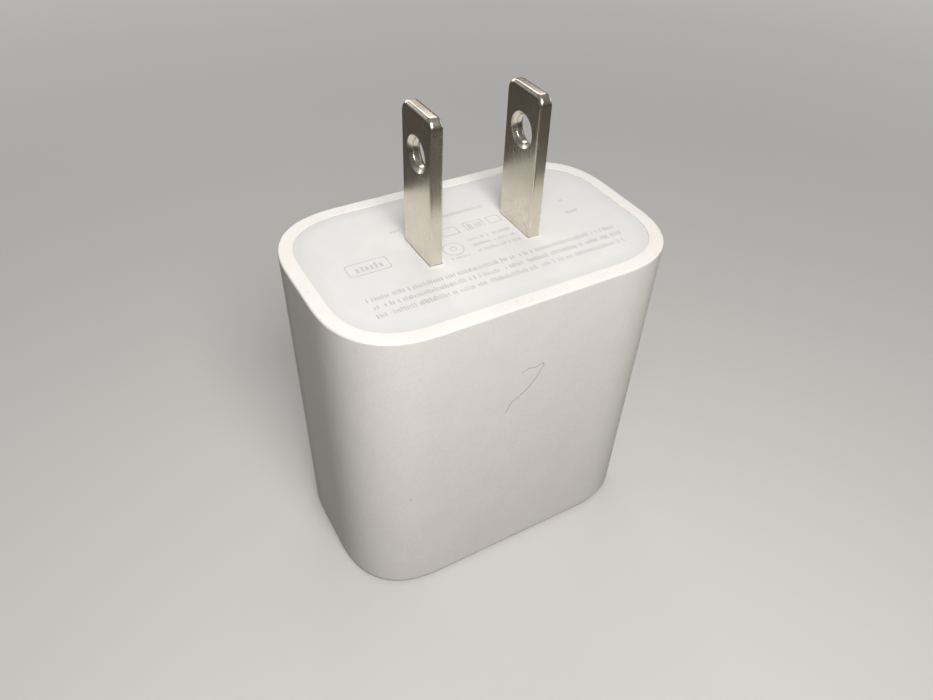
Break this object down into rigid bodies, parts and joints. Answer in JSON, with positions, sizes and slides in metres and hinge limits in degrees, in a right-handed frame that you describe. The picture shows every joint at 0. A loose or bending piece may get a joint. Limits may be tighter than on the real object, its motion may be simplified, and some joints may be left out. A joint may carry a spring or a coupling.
{
  "type": "usb wall charger",
  "caption": "Compact white wall charger with two fixed flat blades on a matte end plate and a USB-C receptacle at the far end, with its board assembly inside.",
  "frame": {"origin": "centre of the flat port end, on which the charger stands in the picture", "axes": "+Z from the port end to the blade tips, +X along the long side of the body from one blade to the other, -Y the wide front side"},
  "size_m": [0.0426, 0.0268, 0.0581],
  "materials": {
    "white_polycarbonate": "satin, very fine moulded grain",
    "matte_white_polycarbonate": "matte",
    "nickel_plated_brass": "nickel plated, finely brushed",
    "ivory_nylon": "matte",
    "phosphor_bronze": "stamped strip",
    "green_laminate": "glass epoxy with solder mask",
    "black_epoxy": "moulded package",
    "brown_phenolic": "matte",
    "blue_epoxy": "dipped coating",
    "yellow_polyester": "boxed capacitor case",
    "capacitor_sleeve": "shrink sleeve on an aluminium can",
    "bare_aluminium": "drawn or rolled",
    "black_rubber": "matte",
    "ferrite": "sintered, matte",
    "enamelled_copper": "enamelled copper wire or bare copper bar",
    "yellow_tape": "polyester tape over copper wire",
    "black_phenolic": "matte",
    "stainless_steel": "drawn",
    "white_lcp": "moulded",
    "gold_plating": "gold plated copper alloy",
    "grey_silicone": "soft pad",
    "polyester_film": "thin film",
    "ceramic_chip": "fired"
  },
  "bodies": {
    "root": {"outer_shell": "white_polycarbonate", "face_plate": "matte_white_polycarbonate", "left_blade": "nickel_plated_brass", "right_blade": "nickel_plated_brass", "blade_carrier": "ivory_nylon", "left_contact_spring": "phosphor_bronze", "right_contact_spring": "phosphor_bronze", "main_board": "green_laminate", "port_board": "green_laminate", "return_link": "enamelled_copper", "supply_link": "enamelled_copper", "input_fuse": "brown_phenolic", "surge_varistor": "blue_epoxy", "y_capacitor": "blue_epoxy", "x_capacitor": "yellow_polyester", "choke_core": "ferrite", "choke_winding": "enamelled_copper", "bridge_rectifier": "black_epoxy", "bulk_capacitor_1": "capacitor_sleeve", "bulk_capacitor_2": "capacitor_sleeve", "bulk_capacitor_1_bung": "black_rubber", "bulk_capacitor_2_bung": "black_rubber", "primary_controller": "black_epoxy", "startup_resistor": "black_epoxy", "clamp_diode": "black_epoxy", "transformer_core_lower": "ferrite", "transformer_core_upper": "ferrite", "transformer_bobbin": "black_phenolic", "transformer_winding": "yellow_tape", "transformer_thermal_pad": "grey_silicone", "heat_spreader": "bare_aluminium", "rectifier_mosfet": "black_epoxy", "optocoupler": "black_epoxy", "output_capacitor_1": "bare_aluminium", "output_capacitor_2": "bare_aluminium", "port_controller": "black_epoxy", "power_switch": "black_epoxy", "sense_resistor": "black_epoxy", "ceramic_capacitor_1": "ceramic_chip", "ceramic_capacitor_2": "ceramic_chip", "insulation_sheet": "polyester_film", "usb_c_shell": "stainless_steel", "usb_c_insulator": "white_lcp", "usb_c_mid_plate": "stainless_steel", "usb_c_contacts_front": "gold_plating", "usb_c_contacts_back": "gold_plating"}
  },
  "joints": []
}
